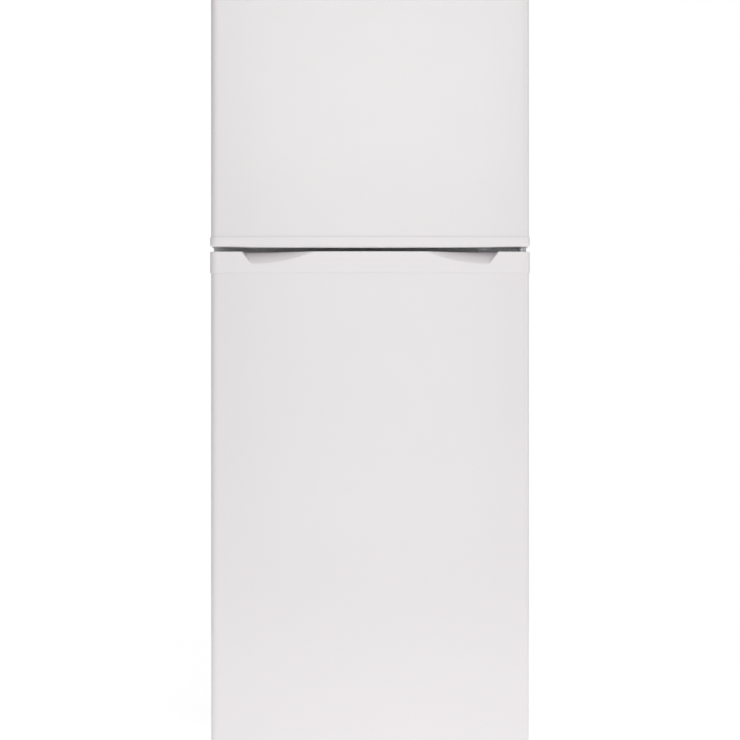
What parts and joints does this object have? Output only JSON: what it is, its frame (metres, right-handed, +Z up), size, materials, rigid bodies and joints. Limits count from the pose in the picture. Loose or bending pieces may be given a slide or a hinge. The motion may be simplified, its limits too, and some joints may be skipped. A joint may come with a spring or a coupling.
{
  "type": "top freezer refrigerator",
  "caption": "Upright white refrigerator with a freezer above, bowed doors hinged on the right, scooped finger grips, shelves, bins, drawers and rear condenser.",
  "frame": {"origin": "on the floor, under the middle of the whole object's bounding box, condenser included", "axes": "+Z up, the doors face -Y, +X is to the right seen from the front, where the hinges are"},
  "size_m": [0.5956, 0.6636, 1.518],
  "materials": {
    "white_paint": "satin",
    "cabinet_paint": "satin",
    "cap_plastic": "satin",
    "liner_plastic": "gloss",
    "zinc_steel": "satin",
    "steel": "satin",
    "foam": "matte",
    "seal_rubber": "matte",
    "black_paint": "satin",
    "black_rubber": "matte",
    "black_plastic": "matte",
    "copper_pipe": "satin",
    "white_plastic": "satin",
    "grey_plastic": "satin",
    "clear_plastic": "gloss",
    "shelf_glass": "gloss",
    "fin_aluminium": "satin",
    "coated_wire": "gloss"
  },
  "bodies": {
    "cabinet": {"outer_case": "cabinet_paint", "back_panel": "zinc_steel", "machine_panel": "zinc_steel", "base_frame": "zinc_steel", "centre_rail": "cabinet_paint", "insulation_foam": "foam", "freezer_liner": "liner_plastic", "fridge_liner": "liner_plastic", "top_hinge": "zinc_steel", "top_hinge_cover": "cap_plastic", "middle_hinge": "zinc_steel", "bottom_hinge": "zinc_steel", "hinge_screws": "steel", "hinge_hole_plugs": "white_plastic", "roller_brackets": "zinc_steel", "roller_axles": "steel", "compressor": "black_paint", "compressor_plate": "zinc_steel", "compressor_grommets": "black_rubber", "relay_cover": "black_plastic", "refrigerant_pipes": "copper_pipe", "filter_drier": "copper_pipe", "condenser_tube": "black_paint", "condenser_wires": "black_paint", "condenser_clips": "black_plastic", "drain_pan": "black_plastic", "drain_hose": "grey_plastic", "cord_gland": "black_rubber", "evaporator": "fin_aluminium", "evaporator_cover": "white_plastic", "fan_motor": "zinc_steel", "control_housing": "white_plastic", "lamp_cover": "clear_plastic", "freezer_shelf": "coated_wire", "shelf_glass": "shelf_glass", "shelf_trims": "white_plastic"},
    "fridge_door": {"fridge_door_skin": "white_paint", "fridge_door_top_cap": "cap_plastic", "fridge_door_bottom_cap": "cap_plastic", "fridge_door_foam": "foam", "fridge_door_liner": "liner_plastic", "fridge_door_seal": "seal_rubber", "fridge_door_bottle_bin": "clear_plastic", "fridge_door_bins": "clear_plastic"},
    "freezer_door": {"freezer_door_skin": "white_paint", "freezer_door_top_cap": "cap_plastic", "freezer_door_bottom_cap": "cap_plastic", "freezer_door_foam": "foam", "freezer_door_liner": "liner_plastic", "freezer_door_seal": "seal_rubber", "freezer_door_bins": "clear_plastic"},
    "left_crisper": {"left_crisper": "clear_plastic"},
    "right_crisper": {"right_crisper": "clear_plastic"},
    "light_switch_plunger": {"light_switch_plunger": "white_plastic"},
    "temperature_dial": {"temperature_dial": "grey_plastic"},
    "freezer_airflow_knob": {"freezer_airflow_knob": "grey_plastic"},
    "fan_blade": {"fan_blade": "white_plastic"},
    "left_roller": {"left_roller": "black_plastic"},
    "right_roller": {"right_roller": "black_plastic"},
    "left_foot": {"left_foot": "black_plastic"},
    "right_foot": {"right_foot": "black_plastic"}
  },
  "joints": [
    {"name": "fridge_door_swing", "type": "hinge", "parent": "cabinet", "child": "fridge_door", "pos_m": [0.284, -0.291, 0.034], "axis": [0, 0, 1], "range_deg": [0, 135]},
    {"name": "freezer_door_swing", "type": "hinge", "parent": "cabinet", "child": "freezer_door", "pos_m": [0.284, -0.291, 0.995], "axis": [0, 0, 1], "range_deg": [0, 135]},
    {"name": "left_crisper_slide", "type": "slide", "parent": "cabinet", "child": "left_crisper", "axis": [0, -1, 0], "range_m": [0, 0.16]},
    {"name": "right_crisper_slide", "type": "slide", "parent": "cabinet", "child": "right_crisper", "axis": [0, -1, 0], "range_m": [0, 0.16]},
    {"name": "light_switch_travel", "type": "slide", "parent": "cabinet", "child": "light_switch_plunger", "axis": [0, -1, 0], "range_m": [0, 0.006]},
    {"name": "temperature_dial_turn", "type": "hinge", "parent": "cabinet", "child": "temperature_dial", "pos_m": [-0.04, -0.206, 0.927], "axis": [0, -1, 0], "range_deg": [0, 270]},
    {"name": "airflow_knob_turn", "type": "hinge", "parent": "cabinet", "child": "freezer_airflow_knob", "pos_m": [0.15, 0.183, 1.279], "axis": [0, -1, 0], "range_deg": [0, 180]},
    {"name": "fan_spin", "type": "hinge", "parent": "cabinet", "child": "fan_blade", "pos_m": [0, 0.199, 1.358], "axis": [0, 1, 0], "continuous": true},
    {"name": "left_roller_spin", "type": "hinge", "parent": "cabinet", "child": "left_roller", "pos_m": [-0.262, 0.241, 0.015], "axis": [1, 0, 0], "continuous": true},
    {"name": "right_roller_spin", "type": "hinge", "parent": "cabinet", "child": "right_roller", "pos_m": [0.262, 0.241, 0.015], "axis": [1, 0, 0], "continuous": true},
    {"name": "left_foot_screw", "type": "slide", "parent": "cabinet", "child": "left_foot", "axis": [0, 0, 1], "range_m": [-0.012, 0]},
    {"name": "right_foot_screw", "type": "slide", "parent": "cabinet", "child": "right_foot", "axis": [0, 0, 1], "range_m": [-0.012, 0]}
  ],
  "couplings": [
    {"joint": "left_crisper_slide", "follows": "fridge_door_swing", "m_per_rad": 0.0679},
    {"joint": "right_crisper_slide", "follows": "fridge_door_swing", "m_per_rad": 0.0679},
    {"joint": "light_switch_travel", "follows": "fridge_door_swing", "m_per_rad": 0.0025}
  ]
}
